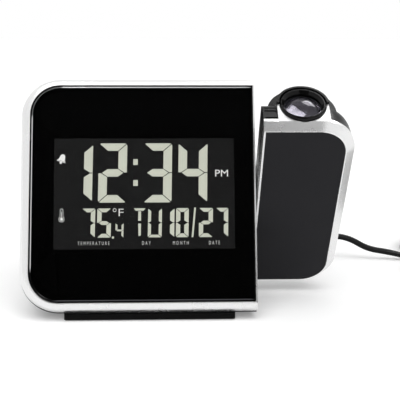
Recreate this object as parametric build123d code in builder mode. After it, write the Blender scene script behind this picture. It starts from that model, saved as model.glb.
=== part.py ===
"""Projection alarm clock: a leaning display slab with a tilting projector arm on its right side.

Frame: +X to the right as seen from the front, +Y to the back, +Z up, millimetres.
The origin is the centre of the pad's underside, on the table.
"""

from build123d import *
import os
from math import cos, pi, radians, sin, sqrt, tan

os.makedirs("parts", exist_ok=True)

# ------------------------------------------------------------------ driving dimensions
# Where the slab stands
lean = 19.0            # the face leans back from upright
face_x = -3.3          # the face's centre line
face_y = -27.0         # the face's lower edge
face_lift = 10.2       # the same edge above the table

# Face and silver rim
face_w = 103.8
face_h = 101.1
face_r = 13.9          # corners on the rounded, left side
rim_side = 4.85        # how far the rim flares out to the left
rim_end = 4.15         # and at the top and bottom
rim_depth = 7.5
rim_steps = 4          # sections through the rim's convex flank
trim_w = 0.75          # thin rim down the straight right side
lip_depth = 3.0        # depth of the rim's inner lip
lip_step = 2.2         # how far the rim is hollowed behind that lip
fit_gap = 0.15         # clearance of a dropped-in piece

# Window and display
frame_lip = 1.1        # visible width of the black frame round the window
lip_bevel = 0.36       # the bevel on its inner edge
frame_front = 0.25     # the frame stands back from the rim
frame_depth = 5.0
lens_front = 0.5
lens_t = 1.2
mask_t = 0.2
window_w = 83.5
window_h = 51.8
window_u = 1.0         # the window's centre, right of the face's
window_drop = 0.25     # and below it
lcd_margin = 2.2       # the cell reaches this far past the window
lcd_t = 2.2
guide_t = 3.0
board_t = 1.6
board_gap = 0.3
board_side = 13.9      # the main board stays this far inside the face at each side
board_end = 7.5        # and at the top and bottom
board_inset = 4.0      # the posts' distance from the board's sides
post_r = 2.4

# Rear housing
wall = 2.0
slab_depth = 20.0
slab_round = 3.0
slab_drop = 0.4        # the housing sits this much lower than the rim, a dark line under it
hump_w = 78.0
hump_y = 22.0          # the upright rear wall
hump_wall = 3.0
hump_drop = 9.0        # the hump ends this far below the set buttons
hump_slope = 12.0      # height of its sloping top
hump_round = 5.0
floor_z = 3.4          # underside of the housing

# Foot
foot_w = 79.0
foot_front = -22.6
foot_back = 21.0
foot_round = 1.5
foot_z = 0.5
pad_w = 70.0
pad_d = 34.0
pad_t = 1.0
pad_round = 4.0

# Battery bay: two AA cells, one above the other
cell_d = 14.2
cell_l = 49.2
cell_tip_d = 5.4
cell_tip_l = 1.2
bay_spring = 6.6       # length left for the contacts at both ends
bay_slack = 1.0        # around each cell across the bay
bay_deep = 1.2         # and in depth
bay_x = -6.5
bay_z = 11.6           # the bay's floor
bay_wall = 1.2
door_t = 1.6
door_lap = 2.0         # the door laps the bay's mouth by this much
door_gap = 0.2
pin_r = 0.5
pin_l = 1.0
grip_ribs = 4
grip_pitch = 1.8
grip_w = 14.0
grip_h = 0.8
grip_deep = 0.5
contact_t = 0.5
contact_w = 9.0
spring_r = 2.6
nub_r = 2.0
spring_clear = 0.2

# Supply socket and plug
jack_x = 31.0
jack_z = 13.5
jack_nose_r = 4.0
jack_body = 10.0
jack_bore_r = 2.8
jack_bore_l = 9.0
plug_barrel_r = 2.7
plug_pin_r = 0.9
plug_stand = 0.3       # the grip stops short of the rear wall
plug_grip_r = 4.2
plug_grip_l = 20.0
relief_l = 12.0
relief_ribs = 3
relief_groove = 0.9

# Snooze bar and set buttons
snooze_w = 64.0
snooze_d = 6.4
snooze_proud = 1.0
snooze_depth = 13.8    # the bar's centre behind the face
snooze_edge = 0.7      # bevel round its crown
flange_w = 2.0         # a button's flange reaches this far past its cap
flange_t = 0.9
button_gap = 0.3
button_edge = 0.5      # bevel round a button's crown
rest_gap = 0.1         # under a flange, and between pieces that only just clear
button_count = 6
button_pitch = 14.0
button_w = 10.0
button_h = 5.4
button_drop = 18.1     # the set buttons' centres below the face's top edge
button_proud = 1.2
key_board_t = 1.2
key_board_past = 5.0   # the key board reaches past the outer buttons' flanges
key_board_h = 10.0
key_gap = 1.1          # a pressed button stops this far in

# Sounder
sounder_r = 8.0
sounder_t = 4.0
sounder_u = -20.0
sounder_v = 64.0
sounder_hole_r = 1.2
slot_count = 5         # sound slots in the hump
slot_pitch = 3.2
slot_w = 9.0
slot_h = 1.4
resin_r = 7.0
resin_t = 1.4
resin_u = 14.0
capacitor_r = 2.0
capacitor_h = 5.0

# Hinge of the arm, on a cross axis
pivot_rise = 0.65      # above the middle of the face
pivot_margin = 0.5      # between the rim and the hinge bush
arm_gap = 0.6
arm_lean = 33.0        # the arm tips forward from upright
shaft_r = 3.2
shaft_wall = 1.1
shaft_clear = 0.05
bush_wall = 0.8
bush_l = 6.0
boss_wall = 2.0
thrust_t = 0.5
thrust_ring = 3.3      # the thrust washer's width
spring_t = 0.7
clip_t = 0.8
clip_ring = 1.8        # the clip and the spring washer stand out from the shaft by this much
groove_deep = 0.6
hub_ring = 2.8
hub_flange_t = 1.4

# Projector arm
panel_w = 36.2
panel_short = 4.1      # the panel is this much shorter than the face
panel_r = 12.5
panel_t = 1.2
panel_front = 0.35
arm_trim = 0.8
arm_side = 4.4         # flare of the arm's frame to the right
arm_end = 3.4          # and at its ends
arm_edge = 0.3         # depth of the steep bevel beside the panel
arm_edge_share = 0.13  # and its share of the flare
arm_slope = 3.4        # the frame's slope ends at this depth
arm_frame_depth = 5.0
arm_depth = 17.5
arm_steps = 3          # sections through the rear shell's curve
arm_wall = 1.6
arm_ledge = 2.0
knuckle_ring = 5.8     # the knuckle's radius beyond the shaft's
knuckle_l = 10.0

# Projector barrel, along the arm
barrel_left = 2.5      # the barrel starts this far from the arm's left side
barrel_depth = 13.6    # its axis behind the arm's face
barrel_ring = 4.8      # the barrel's radius beyond the bore for the focus ring
barrel_wall = 1.8
barrel_top = 0.6       # above the panel's top edge
barrel_low = -10.0     # its straight part ends here, below the pivot
tail_gap = 1.4         # the barrel's tail ends this far above the flip button's flange
barrel_tail_r = 6.0
collar_wall = 1.0
collar_h = 5.7
horn_half_w = 11.4
horn_h = 4.5
horn_root = 1.4
rib_grooves = [(5.9, 1.4), (10.9, 1.0), (13.4, 0.8)]   # depth and width of each groove in the shoulder
rib_deep = 0.9

# Focus ring, lens cell and lens
ring_wall = 1.6
ring_gap = 0.3
ring_top = 5.2
ring_low = -2.0
ring_edge = 0.5        # bevel round the ring's outer edge
ring_lip_low = 3.2
ring_lip_t = 0.6
ring_mouth_wall = 0.8
ring_throat_clear = 0.3
ring_cell_clear = 0.15
lens_wall = 0.7
lens_seat = 1.2        # width of the ledge under the lens
cell_clear = 0.05
cell_top = 2.2
cell_low = -12.0
lens_r = 7.9
lens_edge_t = 2.0
lens_low = 0.2
lens_rise = 2.9
tube_wall = 1.3
tube_low = 12.0
tube_flange = 2.95     # the tube's flange stands out this far
tube_flange_t = 1.9
shutter_w = 15.0
shutter_t = 1.6
lamp_r = 2.5
lamp_l = 6.0
lamp_board_t = 1.2
flip_r = 3.6
flip_rise = 18.5       # the flip button's centre above the panel's lower edge
flip_edge = 0.6
flip_proud = 1.0
arm_board_t = 1.2
arm_board_h = 20.0
arm_board_w = 28.0

# Screws
screw_head_r = 2.6
screw_head_t = 1.6
screw_r = 1.4
screw_l = 7.0
screw_sink = 2.2
screw_boss_r = 3.4
screw_in = 6.0         # from the face's sides
screw_low = 12.0       # above its lower edge
screw_high = 8.1       # below its top edge

# Supply lead: where it lies is chosen by hand
cord_d = 3.4
cord_total = 1500.0
adapter_w = 42.0
adapter_d = 28.0
adapter_h = 26.0
adapter_x = 175.5
adapter_y = 42.0
adapter_round = 3.0
prong_gap = 12.7
prong_w = 6.3
prong_t = 1.5
prong_l = 15.9
coil_x = 172.0
coil_y = 99.5
coil_d = 39.0          # through the middle of its turns
coil_columns = 3
coil_layers = 4
cone_end = 0.4         # a strain relief ends this much thicker than the lead's radius

# ------------------------------------------------------------------ places worked out
lean_cos = cos(radians(lean))
lean_sin = sin(radians(lean))
bush_r = shaft_r + bush_wall
pivot_depth = rim_depth + bush_r + pivot_margin
face = Plane(origin=(face_x, face_y, face_lift), x_dir=(1, 0, 0), z_dir=(0, -lean_cos, lean_sin))
clock_right = face_x + face_w / 2 + trim_w
arm_left = clock_right + arm_gap
pivot = face.from_local_coords((0, face_h / 2 + pivot_rise, -pivot_depth))
arm_out = (0, -cos(radians(arm_lean)), -sin(radians(arm_lean)))
arm = Plane(origin=(arm_left, pivot.Y, pivot.Z), x_dir=(1, 0, 0), z_dir=arm_out)
lens_back = lens_front + lens_t
mask_back = lens_back + mask_t
guide_back = mask_back + lcd_t + guide_t
board_front = guide_back + board_gap
slab_back = slab_depth - wall
window_v = face_h / 2 - window_drop
button_v = face_h - button_drop
hump_top = face_lift + (button_v - hump_drop) * lean_cos - slab_depth * lean_sin
hump_shoulder = hump_top - hump_slope
key_board_w = (button_count - 1) * button_pitch + button_w + flange_w + 2 * key_board_past
panel_h = face_h - panel_short
half_panel = panel_h / 2
flip_y = flip_rise - half_panel
flip_flange_r = flip_r + flange_w / 2
tail_y = flip_y + flip_flange_r + tail_gap
bay_w = cell_l + cell_tip_l + bay_spring
bay_h = 2 * (cell_d + bay_slack)
bay_d = cell_d + bay_deep
shaft_bore_r = shaft_r - shaft_wall
boss_r = bush_r + boss_wall
thrust_r = shaft_r + thrust_ring
clip_r = shaft_r + clip_ring
groove_r = shaft_r - groove_deep
hub_flange_r = shaft_r + hub_ring
knuckle_r = shaft_r + knuckle_ring
cell_r = lens_r + lens_wall
ring_r = cell_r + ring_wall
ring_bore_r = ring_r + ring_gap
ring_mouth_r = ring_r - ring_mouth_wall
ring_throat_r = lens_r + ring_throat_clear
collar_r = ring_bore_r + collar_wall
barrel_r = ring_bore_r + barrel_ring
barrel_x = barrel_r + barrel_left
tube_r = cell_r + cell_clear + tube_wall
tube_flange_r = tube_r + tube_flange


def behind(depth):
    """The plane parallel to the clock's face, this far behind it."""
    return face.offset(-depth)


def housing_at(depth):
    """The same plane for the rear housing, which sits a little lower."""
    origin = face.from_local_coords((0, -slab_drop, -depth))
    return Plane(origin=origin, x_dir=(1, 0, 0), z_dir=face.z_dir)


def arm_behind(depth):
    """The plane parallel to the arm's face, this far behind it."""
    return arm.offset(pivot_depth - depth)


def arm_across(height):
    """The plane across the barrel, centred on its axis, this far above the panel's top edge."""
    centre = arm.from_local_coords((barrel_x, half_panel + height, pivot_depth - barrel_depth))
    return Plane(origin=centre, x_dir=(1, 0, 0), z_dir=arm.y_dir)


def arm_profile(x):
    """The plane across the arm, x from its left side; it draws in depth and height over the panel."""
    corner = arm.from_local_coords((x, half_panel, pivot_depth))
    return Plane(origin=corner, x_dir=-arm.z_dir, z_dir=(1, 0, 0))


def side_plane(x):
    """The plane across the hinge axis at a world X, looking to the right, centred on the pivot."""
    return Plane(origin=(x, pivot.Y, pivot.Z), x_dir=(0, 1, 0), z_dir=(1, 0, 0))


def slab_y(z, depth):
    """World Y of the plane that lies this far behind the face, at a height."""
    return face_y + depth / lean_cos + (z - face_lift) * tan(radians(lean))


def half_rounded(straight_x, round_x, low, high, radius):
    """Draws a rectangle whose two corners at round_x are rounded."""
    right = round_x > straight_x
    turn = 90 if right else -90
    inset = radius if right else -radius
    with BuildLine() as outline:
        lower = Line((straight_x, low), (round_x - inset, low))
        corner = JernArc(lower @ 1, lower % 1, radius, turn)
        side = Line(corner @ 1, (round_x, high - radius))
        upper = JernArc(side @ 1, side % 1, radius, turn)
        Line(upper @ 1, (straight_x, high))
        Line((straight_x, high), (straight_x, low))
    make_face(outline.edges())


def face_shape(side, end, right):
    """The face's outline, grown to the left, at both ends and to the right."""
    radius = face_r + (side + end) / 2
    half_rounded(face_w / 2 + right, -face_w / 2 - side, -end, face_h + end, radius)


def arm_shape(side, end, left):
    """The panel's outline, grown to the right, at both ends and to the left."""
    radius = panel_r + (side + end) / 2
    straight_x = arm_trim - left
    half_rounded(straight_x, arm_trim + panel_w + side, -half_panel - end, half_panel + end, radius)


def flank(steps):
    """Shares of depth and flare along a quarter of an ellipse."""
    return [(1 - cos(pi / 2 * k / steps), sin(pi / 2 * k / steps)) for k in range(steps + 1)]


def finish(part, name):
    """Labels a finished piece and writes its file."""
    part.part.label = name
    export_step(part.part, f"parts/{name}.step")


# ------------------------------------------------------------------ front of the clock
with BuildPart() as front_bezel:
    for depth_share, flare in flank(rim_steps):
        with BuildSketch(behind(rim_depth * depth_share)):
            face_shape(rim_side * flare, rim_end * flare, trim_w)
    loft()
    with BuildSketch(behind(0)):
        face_shape(0, 0, 0)
    extrude(amount=-rim_depth, mode=Mode.SUBTRACT)
    with BuildSketch(behind(lip_depth)):
        face_shape(lip_step, lip_step, 0)
    extrude(amount=lip_depth - rim_depth, mode=Mode.SUBTRACT)
finish(front_bezel, "front_bezel")

lcd_w = window_w + 2 * lcd_margin
lcd_h = window_h + 2 * lcd_margin
board_w = face_w - 2 * board_side
board_h = face_h - 2 * board_end
post_u = board_w / 2 - board_inset
lcd_low = window_v - lcd_h / 2
lcd_high = window_v + lcd_h / 2
post_rows = [(board_end + lcd_low) / 2, (face_h - board_end + lcd_high) / 2]
post_spots = [(u, v) for v in post_rows for u in (-post_u, post_u)]

with BuildPart() as display_frame:
    with BuildSketch(behind(frame_front)):
        face_shape(-fit_gap, -fit_gap, -fit_gap)
    extrude(amount=frame_front - lip_depth)
    with BuildSketch(behind(lip_depth)):
        face_shape(lip_step - fit_gap, lip_step - fit_gap, -fit_gap)
    extrude(amount=lip_depth - frame_depth)
    with BuildSketch(behind(frame_front)):
        face_shape(-frame_lip, -frame_lip, -frame_lip / 2)
    extrude(amount=frame_front - mask_back, mode=Mode.SUBTRACT)
    lip_edges = display_frame.faces().sort_by(Axis(face.origin, face.z_dir))[-1].inner_wires()[0].edges()
    chamfer(lip_edges, lip_bevel)
    with BuildSketch(behind(0)):
        with Locations((window_u, window_v)):
            Rectangle(lcd_w + 2 * fit_gap, lcd_h + 2 * fit_gap)
    extrude(amount=-frame_depth, mode=Mode.SUBTRACT)
    with BuildSketch(behind(frame_depth)):
        with Locations(*post_spots):
            Circle(post_r)
    extrude(amount=frame_depth - board_front)
finish(display_frame, "display_frame")

lens_inset = -frame_lip - fit_gap
with BuildPart() as front_lens:
    with BuildSketch(behind(lens_front)):
        face_shape(lens_inset, lens_inset, -frame_lip / 2 - fit_gap)
    extrude(amount=-lens_t)
finish(front_lens, "front_lens")

with BuildPart() as lens_mask:
    with BuildSketch(behind(lens_back)):
        face_shape(lens_inset, lens_inset, -frame_lip / 2 - fit_gap)
    extrude(amount=-mask_t)
    with BuildSketch(behind(lens_back)):
        with Locations((window_u, window_v)):
            Rectangle(window_w, window_h)
    extrude(amount=-mask_t, mode=Mode.SUBTRACT)
finish(lens_mask, "lens_mask")

with BuildPart() as display_cell:
    with BuildSketch(behind(mask_back)):
        with Locations((window_u, window_v)):
            Rectangle(lcd_w, lcd_h)
    extrude(amount=-lcd_t)
finish(display_cell, "display_cell")

with BuildPart() as light_guide:
    with BuildSketch(behind(mask_back + lcd_t)):
        with Locations((window_u, window_v)):
            Rectangle(lcd_w, lcd_h)
    extrude(amount=-guide_t)
finish(light_guide, "light_guide")

board_back = board_front + board_t
with BuildPart() as main_board:
    with BuildSketch(behind(board_front)):
        with Locations((0, face_h / 2)):
            Rectangle(board_w, board_h)
    extrude(amount=-board_t)
    # a few parts on its back: the resin over the processor, two capacitors
    with BuildSketch(behind(board_back)):
        with Locations((resin_u, sounder_v + 6)):
            Circle(resin_r)
    extrude(amount=-resin_t)
    with BuildSketch(behind(board_back)):
        with Locations((resin_u, sounder_v - 12), (resin_u + 3 * capacitor_r, sounder_v - 12)):
            Circle(capacitor_r)
    extrude(amount=-capacitor_h)
finish(main_board, "main_board")

with BuildPart() as sounder:
    with BuildSketch(behind(board_back)):
        with Locations((sounder_u, sounder_v)):
            Circle(sounder_r)
    extrude(amount=-sounder_t)
    with BuildSketch(behind(board_back + sounder_t)):
        with Locations((sounder_u, sounder_v)):
            Circle(sounder_hole_r)
    extrude(amount=sounder_t / 4, mode=Mode.SUBTRACT)
finish(sounder, "sounder")

# ------------------------------------------------------------------ rear housing
hump_outline = [
    (slab_y(floor_z, slab_depth * 0.6), floor_z),
    (hump_y, floor_z),
    (hump_y, hump_shoulder),
    (slab_y(hump_top, slab_depth), hump_top),
    (slab_y(hump_top, slab_depth * 0.6), hump_top),
]

with BuildPart() as hump:
    with BuildSketch(Plane.YZ.offset(-hump_w / 2)):
        with BuildLine():
            Polyline(*hump_outline, close=True)
        make_face()
    extrude(amount=hump_w)
    fillet(hump.edges().filter_by(Axis.Z).group_by(Axis.Y)[-1], hump_round)
    shoulder_edge = hump.edges().filter_by(Axis.X).sort_by(Axis.Y)[-1]
    fillet(shoulder_edge, hump_round)

with BuildPart() as slab_cavity:
    with BuildSketch(housing_at(rim_depth)):
        face_shape(rim_side - wall, rim_end - wall, trim_w - wall)
    extrude(amount=rim_depth - slab_back)
    split(bisect_by=Plane.XY.offset(floor_z + wall), keep=Keep.TOP)

with BuildPart() as hump_cavity:
    with BuildSketch(Plane.YZ.offset(hump_wall - hump_w / 2)):
        with BuildLine():
            Polyline(
                (slab_y(floor_z + wall, slab_depth * 0.6), floor_z + wall),
                (hump_y - hump_wall, floor_z + wall),
                (hump_y - hump_wall, hump_shoulder - wall / 2),
                (slab_y(hump_top - wall, slab_back), hump_top - wall),
                (slab_y(hump_top - wall, slab_depth * 0.6), hump_top - wall),
                close=True,
            )
        make_face()
    extrude(amount=hump_w - 2 * hump_wall)

door_w = bay_w + 2 * door_lap
door_h = bay_h + 2 * door_lap
door_low = bay_z - door_lap
button_spots = [((k - (button_count - 1) / 2) * button_pitch, button_v) for k in range(button_count)]
screw_u = face_w / 2 - screw_in
screw_spots = [(u, v) for v in (screw_low, face_h - screw_high) for u in (-screw_u, screw_u)]
top_face = Plane(
    origin=face.from_local_coords((0, face_h + rim_end - slab_drop, -snooze_depth)),
    x_dir=(1, 0, 0),
    z_dir=face.y_dir,
)

with BuildPart() as rear_housing:
    with BuildSketch(housing_at(rim_depth)):
        face_shape(rim_side, rim_end, trim_w)
    extrude(amount=rim_depth - slab_depth)
    fillet(rear_housing.faces().sort_by(Axis(face.origin, face.z_dir))[0].edges(), slab_round)
    split(bisect_by=Plane.XY.offset(floor_z), keep=Keep.TOP)
    add(hump.part)
    add(slab_cavity.part, mode=Mode.SUBTRACT)
    add(hump_cavity.part, mode=Mode.SUBTRACT)
    # battery bay: a tray behind the rear wall, its mouth and the recess for the door
    with Locations((bay_x, hump_y - hump_wall, bay_z + bay_h / 2)):
        Box(
            bay_w + 2 * bay_wall,
            bay_d + bay_wall,
            bay_h + 2 * bay_wall,
            align=(Align.CENTER, Align.MAX, Align.CENTER),
        )
    with Locations((bay_x, hump_y, bay_z + bay_h / 2)):
        Box(
            bay_w,
            bay_d + hump_wall,
            bay_h,
            align=(Align.CENTER, Align.MAX, Align.CENTER),
            mode=Mode.SUBTRACT,
        )
        Box(
            door_w + 2 * door_gap,
            door_t,
            door_h + 2 * door_gap,
            align=(Align.CENTER, Align.MAX, Align.CENTER),
            mode=Mode.SUBTRACT,
        )
    with Locations((bay_x, hump_y - door_t / 2, door_low + door_t / 2)):
        Cylinder(
            pin_r + door_gap / 2, door_w + 2 * pin_l + 4 * door_gap, rotation=(0, 90, 0), mode=Mode.SUBTRACT
        )
    # supply socket's hole
    with Locations((jack_x, hump_y, jack_z)):
        Cylinder(
            jack_nose_r + fit_gap,
            hump_wall,
            rotation=(90, 0, 0),
            align=(Align.CENTER, Align.CENTER, Align.MIN),
            mode=Mode.SUBTRACT,
        )
    # mouths of the snooze bar and of the set buttons
    with BuildSketch(top_face):
        SlotOverall(snooze_w + 2 * button_gap, snooze_d + 2 * button_gap)
    extrude(amount=-wall, mode=Mode.SUBTRACT)
    with BuildSketch(behind(slab_back)):
        with Locations(*button_spots):
            SlotOverall(button_w + 2 * button_gap, button_h + 2 * button_gap)
    extrude(amount=-wall, mode=Mode.SUBTRACT)
    # posts of the key board
    with BuildSketch(behind(slab_back)):
        with Locations((-key_board_w / 2 + post_r, button_v), (key_board_w / 2 - post_r, button_v)):
            Circle(post_r)
    extrude(amount=flange_t + rest_gap + key_gap)
    # boss and bore for the hinge bush
    with BuildSketch(side_plane(clock_right - wall)):
        Circle(boss_r)
    extrude(amount=wall - bush_l)
    with BuildSketch(side_plane(clock_right)):
        Circle(bush_r + shaft_clear)
    extrude(amount=-bush_l, mode=Mode.SUBTRACT)
    # screw bosses, open at the back
    with BuildSketch(behind(rim_depth)):
        with Locations(*screw_spots):
            Circle(screw_boss_r)
    extrude(amount=rim_depth - slab_back)
    with BuildSketch(behind(slab_depth)):
        with Locations(*screw_spots):
            Circle(screw_head_r + fit_gap)
    extrude(amount=screw_sink, mode=Mode.SUBTRACT)
    with BuildSketch(behind(slab_depth)):
        with Locations(*screw_spots):
            Circle(screw_r + fit_gap)
    extrude(amount=screw_sink + screw_l, mode=Mode.SUBTRACT)
    # sound slots over the sounder's side of the hump
    with BuildSketch(Plane.XZ.offset(-hump_y)):
        with Locations((jack_x - jack_bore_r, hump_shoulder - slot_count * slot_pitch)):
            with GridLocations(0, slot_pitch, 1, slot_count):
                Rectangle(slot_w, slot_h)
    extrude(amount=hump_wall, mode=Mode.SUBTRACT)
finish(rear_housing, "rear_housing")

with BuildPart() as housing_screws:
    with BuildSketch(behind(slab_depth - screw_sink + screw_head_t)):
        with Locations(*screw_spots):
            Circle(screw_head_r)
    extrude(amount=screw_head_t)
    with BuildSketch(behind(slab_depth - screw_sink)):
        with Locations(*screw_spots):
            Circle(screw_r)
    extrude(amount=screw_l)
finish(housing_screws, "housing_screws")

with BuildPart() as foot:
    with BuildSketch(Plane.XY.offset(foot_z)):
        with Locations((0, (foot_front + foot_back) / 2)):
            RectangleRounded(foot_w, foot_back - foot_front, foot_round)
    extrude(amount=floor_z - foot_z)
    with Locations((0, 0, foot_z)):
        Box(
            pad_w + 2 * fit_gap,
            pad_d + 2 * fit_gap,
            pad_t - foot_z,
            align=(Align.CENTER, Align.CENTER, Align.MIN),
            mode=Mode.SUBTRACT,
        )
finish(foot, "foot")

with BuildPart() as foot_pad:
    with BuildSketch():
        RectangleRounded(pad_w, pad_d, pad_round)
    extrude(amount=pad_t)
finish(foot_pad, "foot_pad")

# ------------------------------------------------------------------ battery bay
cell_rows = [bay_z + bay_h / 4, bay_z + 3 * bay_h / 4]
cell_y = hump_y - hump_wall - bay_d / 2

with BuildPart() as cells:
    for row, z in enumerate(cell_rows):
        tip_way = 1 if row == 0 else -1
        with Locations((bay_x, cell_y, z)):
            Cylinder(cell_d / 2, cell_l, rotation=(0, 90, 0))
        with Locations((bay_x + tip_way * (cell_l + cell_tip_l) / 2, cell_y, z)):
            Cylinder(cell_tip_d / 2, cell_tip_l, rotation=(0, 90, 0))
finish(cells, "cells")

spring_room = bay_w / 2 - cell_l / 2 - contact_t
with BuildPart() as battery_contacts:
    for row, z in enumerate(cell_rows):
        tip_way = 1 if row == 0 else -1
        with Locations((bay_x + tip_way * (bay_w - contact_t) / 2, cell_y, z)):
            Box(contact_t, contact_w, contact_w)
        with Locations((bay_x - tip_way * (bay_w - contact_t) / 2, cell_y, z)):
            Box(contact_t, contact_w, contact_w)
        # sprung cone at the flat end, button plate at the tip
        spring_l = spring_room - spring_clear
        spring_x = bay_x - tip_way * (bay_w / 2 - contact_t - spring_l / 2)
        with Locations((spring_x, cell_y, z)):
            Cylinder(spring_r, spring_l, rotation=(0, 90, 0))
        nub_l = spring_l - cell_tip_l
        nub_x = bay_x + tip_way * (bay_w / 2 - contact_t - nub_l / 2)
        with Locations((nub_x, cell_y, z)):
            Cylinder(nub_r, nub_l, rotation=(0, 90, 0))
finish(battery_contacts, "battery_contacts")

with BuildPart() as battery_door:
    with Locations((bay_x, hump_y - door_t / 2, door_low + door_t / 2)):
        Box(door_w, door_t, door_h - door_t / 2, align=(Align.CENTER, Align.CENTER, Align.MIN))
        Cylinder(door_t / 2, door_w, rotation=(0, 90, 0))
        Cylinder(pin_r, door_w + 2 * pin_l, rotation=(0, 90, 0))
    # finger grip: ribs under the top edge
    with BuildSketch(Plane.XZ.offset(-hump_y)):
        with Locations((bay_x, door_low + door_h - grip_ribs * grip_pitch)):
            with GridLocations(0, grip_pitch, 1, grip_ribs):
                Rectangle(grip_w, grip_h)
    extrude(amount=grip_deep, mode=Mode.SUBTRACT)
finish(battery_door, "battery_door")

# ------------------------------------------------------------------ supply socket and plug
inner_wall_y = hump_y - hump_wall
with BuildPart() as supply_socket:
    with Locations((jack_x, inner_wall_y, jack_z)):
        Box(jack_body, jack_body, jack_body, align=(Align.CENTER, Align.MAX, Align.CENTER))
    with Locations((jack_x, hump_y, jack_z)):
        Cylinder(jack_nose_r, hump_wall, rotation=(90, 0, 0), align=(Align.CENTER, Align.CENTER, Align.MIN))
        Cylinder(
            jack_bore_r,
            jack_bore_l + 1,
            rotation=(90, 0, 0),
            align=(Align.CENTER, Align.CENTER, Align.MIN),
            mode=Mode.SUBTRACT,
        )
    with Locations((jack_x, hump_y - jack_bore_l - 1, jack_z)):
        Cylinder(
            plug_pin_r, jack_bore_l - 1, rotation=(90, 0, 0), align=(Align.CENTER, Align.CENTER, Align.MAX)
        )
finish(supply_socket, "supply_socket")

plug_start = hump_y + plug_stand
relief_start = plug_start + plug_grip_l
relief_end = relief_start + relief_l


def relief_r(y):
    """Radius of the tapered strain relief at this distance along it."""
    share = (y - relief_start) / relief_l
    return cord_d * (1 - share) + (cord_d / 2 + cone_end) * share


relief_points = []
for rib in range(relief_ribs):
    start = relief_start + 2 + rib * (relief_l - 3) / relief_ribs
    stop = start + relief_groove
    relief_points += [
        (start, jack_z + relief_r(start)),
        (start, jack_z + relief_r(stop) - relief_groove / 2),
        (stop, jack_z + relief_r(stop) - relief_groove / 2),
        (stop, jack_z + relief_r(stop)),
    ]

with BuildPart() as supply_plug:
    # turned about the plug's axis: barrel, grip and tapered, ribbed strain relief
    with BuildSketch(Plane.YZ.offset(jack_x)):
        with BuildLine():
            Polyline(
                (hump_y - jack_bore_l, jack_z),
                (hump_y - jack_bore_l, jack_z + plug_barrel_r),
                (plug_start, jack_z + plug_barrel_r),
                (plug_start, jack_z + plug_grip_r),
                (relief_start - 3, jack_z + plug_grip_r),
                (relief_start, jack_z + relief_r(relief_start)),
                *relief_points,
                (relief_end, jack_z + relief_r(relief_end)),
                (relief_end, jack_z),
                close=True,
            )
        make_face()
    revolve(axis=Axis((jack_x, 0, jack_z), (0, 1, 0)))
    with Locations((jack_x, hump_y - jack_bore_l, jack_z)):
        Cylinder(
            plug_pin_r + fit_gap,
            jack_bore_l,
            rotation=(-90, 0, 0),
            align=(Align.CENTER, Align.CENTER, Align.MIN),
            mode=Mode.SUBTRACT,
        )
finish(supply_plug, "supply_plug")

# ------------------------------------------------------------------ snooze bar and set buttons
with BuildPart() as snooze_bar:
    with BuildSketch(top_face.offset(-wall - rest_gap)):
        SlotOverall(snooze_w, snooze_d)
    extrude(amount=wall + rest_gap + snooze_proud)
    crown = snooze_bar.faces().sort_by(Axis(face.origin, face.y_dir))[-1]
    chamfer(crown.edges(), snooze_edge)
    with BuildSketch(top_face.offset(-wall - rest_gap)):
        SlotOverall(snooze_w + 2 * flange_w, snooze_d + flange_w)
    extrude(amount=-flange_t)
finish(snooze_bar, "snooze_bar")

for index, spot in enumerate(button_spots):
    with BuildPart() as set_button:
        with BuildSketch(behind(slab_back - rest_gap)):
            with Locations(spot):
                SlotOverall(button_w, button_h)
        extrude(amount=-(wall + rest_gap + button_proud))
        cap = set_button.faces().sort_by(Axis(face.origin, face.z_dir))[0]
        chamfer(cap.edges(), button_edge)
        with BuildSketch(behind(slab_back - rest_gap)):
            with Locations(spot):
                SlotOverall(button_w + flange_w, button_h + flange_w)
        extrude(amount=flange_t)
    finish(set_button, f"set_button_{index + 1}")

with BuildPart() as key_board:
    with BuildSketch(behind(slab_back - rest_gap - flange_t - key_gap)):
        with Locations((0, button_v)):
            Rectangle(key_board_w, key_board_h)
    extrude(amount=key_board_t)
finish(key_board, "key_board")

# ------------------------------------------------------------------ hinge
bush_end = clock_right - bush_l
with BuildPart() as hinge_bush:
    with BuildSketch(side_plane(clock_right)):
        Circle(bush_r)
        Circle(shaft_r + shaft_clear, mode=Mode.SUBTRACT)
    extrude(amount=-bush_l)
finish(hinge_bush, "hinge_bush")

with BuildPart() as thrust_washer:
    with BuildSketch(side_plane(clock_right)):
        Circle(thrust_r)
        Circle(shaft_r + 4 * shaft_clear, mode=Mode.SUBTRACT)
    extrude(amount=thrust_t)
finish(thrust_washer, "thrust_washer")

with BuildPart() as spring_washer:
    with BuildSketch(side_plane(bush_end)):
        Circle(clip_r)
        Circle(shaft_r + 4 * shaft_clear, mode=Mode.SUBTRACT)
    extrude(amount=-spring_t)
finish(spring_washer, "spring_washer")

clip_x = bush_end - spring_t - rest_gap
with BuildPart() as retaining_clip:
    with BuildSketch(side_plane(clip_x)):
        Circle(clip_r)
        Circle(groove_r, mode=Mode.SUBTRACT)
        with Locations((0, -clip_r)):
            Rectangle(groove_r * 1.7, 2 * clip_r - groove_r, mode=Mode.SUBTRACT)
    extrude(amount=-clip_t)
finish(retaining_clip, "retaining_clip")

shaft_end = clip_x - clip_t - 1.2
with BuildPart() as hinge_shaft:
    with BuildSketch(side_plane(shaft_end)):
        Circle(shaft_r)
        Circle(shaft_bore_r, mode=Mode.SUBTRACT)
    extrude(amount=arm_left + arm_wall - shaft_end)
    with BuildSketch(side_plane(clip_x)):
        Circle(shaft_r)
        Circle(groove_r, mode=Mode.SUBTRACT)
    extrude(amount=-clip_t, mode=Mode.SUBTRACT)
    with BuildSketch(side_plane(arm_left + arm_wall)):
        Circle(hub_flange_r)
        Circle(shaft_bore_r, mode=Mode.SUBTRACT)
    extrude(amount=hub_flange_t)
finish(hinge_shaft, "hinge_shaft")

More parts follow.
